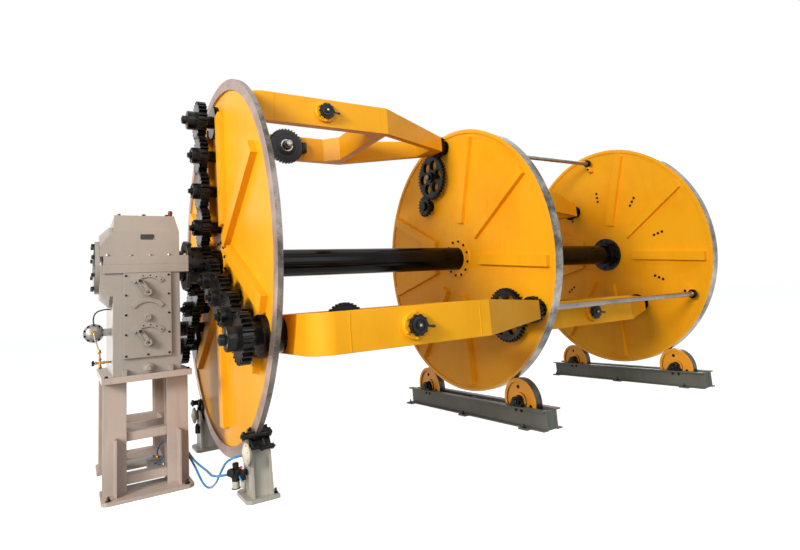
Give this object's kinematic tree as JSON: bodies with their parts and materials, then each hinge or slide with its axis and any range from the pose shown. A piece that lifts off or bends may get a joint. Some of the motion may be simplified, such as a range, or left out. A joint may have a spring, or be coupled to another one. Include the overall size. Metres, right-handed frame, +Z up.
{
  "type": "cable stranding line",
  "caption": "Cable stranding line: a turning cage of ribbed discs on a hollow shaft carries geared bobbin cradles, with a change gearbox on a stand, rim brakes and roller beams.",
  "frame": {"origin": "floor level under the centre of the machine's box", "axes": "+X along the cage from the gearbox to the last disc, +Y away from the lever side, +Z up"},
  "size_m": [5.108, 2.7768, 2.59],
  "materials": {
    "yellow_paint": "gloss",
    "grey_paint": "semi-gloss",
    "bare_steel": "turned",
    "white_paint": "semi-gloss",
    "blue_hose": "gloss",
    "black_finish": "oiled black"
  },
  "bodies": {
    "plant": {"gearbox_stand": "grey_paint", "gearbox_housing": "grey_paint", "gearbox_top_cover": "grey_paint", "gearbox_front_cover": "grey_paint", "bearing_caps": "black_finish", "sun_gear": "black_finish", "shift_cylinder": "bare_steel", "brake_stand_near": "grey_paint", "brake_stand_far": "grey_paint", "brake_caliper_near": "black_finish", "brake_caliper_far": "black_finish", "brake_chamber_near": "white_paint", "brake_chamber_far": "white_paint", "air_regulator": "black_finish", "roller_beam_2": "grey_paint", "roller_beam_3": "grey_paint", "roller_blocks_2": "black_finish", "roller_blocks_3": "black_finish", "air_manifold": "bare_steel", "air_hose_main": "blue_hose", "air_hose_branch": "blue_hose"},
    "cage": {"main_shaft": "black_finish", "disc_1": "yellow_paint", "brake_ring": "bare_steel", "disc_2": "yellow_paint", "rim_2": "bare_steel", "disc_3": "yellow_paint", "rim_3": "bare_steel", "hub_flange": "black_finish", "disc_bearings": "black_finish", "gear_studs": "bare_steel", "guide_tubes": "bare_steel"},
    "cradle_a": {"cradle_a": "yellow_paint", "fittings_a": "black_finish"},
    "cradle_b": {"cradle_b": "yellow_paint", "fittings_b": "black_finish"},
    "cradle_c": {"cradle_c": "yellow_paint", "fittings_c": "black_finish"},
    "cradle_d": {"cradle_d": "yellow_paint", "fittings_d": "black_finish"},
    "cradle_e": {"cradle_e": "yellow_paint", "fittings_e": "black_finish"},
    "idler_a1": {"idler_a1": "black_finish"},
    "idler_a2": {"idler_a2": "black_finish"},
    "idler_a3": {"idler_a3": "black_finish"},
    "idler_b1": {"idler_b1": "black_finish"},
    "idler_b2": {"idler_b2": "black_finish"},
    "idler_b3": {"idler_b3": "black_finish"},
    "idler_c1": {"idler_c1": "black_finish"},
    "idler_c2": {"idler_c2": "black_finish"},
    "idler_c3": {"idler_c3": "black_finish"},
    "transfer_a": {"transfer_a": "black_finish"},
    "transfer_b": {"transfer_b": "black_finish"},
    "roller_2_near": {"roller_2_near": "yellow_paint"},
    "roller_2_far": {"roller_2_far": "yellow_paint"},
    "roller_3_near": {"roller_3_near": "yellow_paint"},
    "roller_3_far": {"roller_3_far": "yellow_paint"},
    "lever_upper": {"lever_upper": "grey_paint"},
    "lever_lower": {"lever_lower": "grey_paint"}
  },
  "joints": [
    {"name": "cage_spin", "type": "hinge", "parent": "plant", "child": "cage", "pos_m": [0.308, 0.05622, 1.34], "axis": [1, 0, 0], "continuous": true},
    {"name": "cradle_a_spin", "type": "hinge", "parent": "cage", "child": "cradle_a", "pos_m": [-0.722, 0.11064, 2.37858], "axis": [1, 0, 0], "continuous": true},
    {"name": "cradle_b_spin", "type": "hinge", "parent": "cage", "child": "cradle_b", "pos_m": [-0.722, -0.87043, 0.86785], "axis": [1, 0, 0], "continuous": true},
    {"name": "cradle_c_spin", "type": "hinge", "parent": "cage", "child": "cradle_c", "pos_m": [-0.722, 0.92843, 0.77358], "axis": [1, 0, 0], "continuous": true},
    {"name": "cradle_d_spin", "type": "hinge", "parent": "cage", "child": "cradle_d", "pos_m": [1.338, 0.40683, 1.8799], "axis": [1, 0, 0], "continuous": true},
    {"name": "cradle_e_spin", "type": "hinge", "parent": "cage", "child": "cradle_e", "pos_m": [1.338, -0.2944, 0.8001], "axis": [1, 0, 0], "continuous": true},
    {"name": "idler_a1_spin", "type": "hinge", "parent": "cage", "child": "idler_a1", "pos_m": [-1.85, 0.06982, 1.59964], "axis": [1, 0, 0], "continuous": true},
    {"name": "idler_a2_spin", "type": "hinge", "parent": "cage", "child": "idler_a2", "pos_m": [-1.85, 0.08343, 1.85929], "axis": [1, 0, 0], "continuous": true},
    {"name": "idler_a3_spin", "type": "hinge", "parent": "cage", "child": "idler_a3", "pos_m": [-1.85, 0.09704, 2.11893], "axis": [1, 0, 0], "continuous": true},
    {"name": "idler_b1_spin", "type": "hinge", "parent": "cage", "child": "idler_b1", "pos_m": [-1.85, -0.17545, 1.22196], "axis": [1, 0, 0], "continuous": true},
    {"name": "idler_b2_spin", "type": "hinge", "parent": "cage", "child": "idler_b2", "pos_m": [-1.85, -0.40711, 1.10393], "axis": [1, 0, 0], "continuous": true},
    {"name": "idler_b3_spin", "type": "hinge", "parent": "cage", "child": "idler_b3", "pos_m": [-1.85, -0.63877, 0.98589], "axis": [1, 0, 0], "continuous": true},
    {"name": "idler_c1_spin", "type": "hinge", "parent": "cage", "child": "idler_c1", "pos_m": [-1.85, 0.27427, 1.19839], "axis": [1, 0, 0], "continuous": true},
    {"name": "idler_c2_spin", "type": "hinge", "parent": "cage", "child": "idler_c2", "pos_m": [-1.85, 0.49232, 1.05679], "axis": [1, 0, 0], "continuous": true},
    {"name": "idler_c3_spin", "type": "hinge", "parent": "cage", "child": "idler_c3", "pos_m": [-1.85, 0.71038, 0.91518], "axis": [1, 0, 0], "continuous": true},
    {"name": "transfer_a_spin", "type": "hinge", "parent": "cage", "child": "transfer_a", "pos_m": [0.252, 0.25874, 2.12924], "axis": [1, 0, 0], "continuous": true},
    {"name": "transfer_b_spin", "type": "hinge", "parent": "cage", "child": "transfer_b", "pos_m": [0.252, -0.58242, 0.83397], "axis": [1, 0, 0], "continuous": true},
    {"name": "roller_2_near_spin", "type": "hinge", "parent": "plant", "child": "roller_2_near", "pos_m": [0.346, -0.56217, 0.178], "axis": [1, 0, 0], "continuous": true},
    {"name": "roller_2_far_spin", "type": "hinge", "parent": "plant", "child": "roller_2_far", "pos_m": [0.346, 0.6746, 0.178], "axis": [1, 0, 0], "continuous": true},
    {"name": "roller_3_near_spin", "type": "hinge", "parent": "plant", "child": "roller_3_near", "pos_m": [2.406, -0.56217, 0.178], "axis": [1, 0, 0], "continuous": true},
    {"name": "roller_3_far_spin", "type": "hinge", "parent": "plant", "child": "roller_3_far", "pos_m": [2.406, 0.6746, 0.178], "axis": [1, 0, 0], "continuous": true},
    {"name": "lever_upper_swing", "type": "hinge", "parent": "plant", "child": "lever_upper", "pos_m": [-2.219, -0.13378, 1.165], "axis": [0, 1, 0], "range_deg": [-17, 83]},
    {"name": "lever_lower_swing", "type": "hinge", "parent": "plant", "child": "lever_lower", "pos_m": [-2.219, -0.13378, 0.865], "axis": [0, 1, 0], "range_deg": [-17, 83]}
  ],
  "couplings": [
    {"joint": "cradle_a_spin", "follows": "cage_spin", "ratio": -1},
    {"joint": "cradle_b_spin", "follows": "cage_spin", "ratio": -1},
    {"joint": "cradle_c_spin", "follows": "cage_spin", "ratio": -1},
    {"joint": "cradle_d_spin", "follows": "cage_spin", "ratio": -1},
    {"joint": "cradle_e_spin", "follows": "cage_spin", "ratio": -1},
    {"joint": "idler_a1_spin", "follows": "cage_spin", "ratio": 1},
    {"joint": "idler_a2_spin", "follows": "cage_spin", "ratio": -1},
    {"joint": "idler_a3_spin", "follows": "cage_spin", "ratio": 1},
    {"joint": "idler_b1_spin", "follows": "cage_spin", "ratio": 1},
    {"joint": "idler_b2_spin", "follows": "cage_spin", "ratio": -1},
    {"joint": "idler_b3_spin", "follows": "cage_spin", "ratio": 1},
    {"joint": "idler_c1_spin", "follows": "cage_spin", "ratio": 1},
    {"joint": "idler_c2_spin", "follows": "cage_spin", "ratio": -1},
    {"joint": "idler_c3_spin", "follows": "cage_spin", "ratio": 1},
    {"joint": "transfer_a_spin", "follows": "cage_spin", "ratio": 0.45},
    {"joint": "transfer_b_spin", "follows": "cage_spin", "ratio": 0.45},
    {"joint": "roller_2_near_spin", "follows": "cage_spin", "ratio": -6.7412},
    {"joint": "roller_2_far_spin", "follows": "cage_spin", "ratio": -6.7412},
    {"joint": "roller_3_near_spin", "follows": "cage_spin", "ratio": -6.7412},
    {"joint": "roller_3_far_spin", "follows": "cage_spin", "ratio": -6.7412}
  ]
}
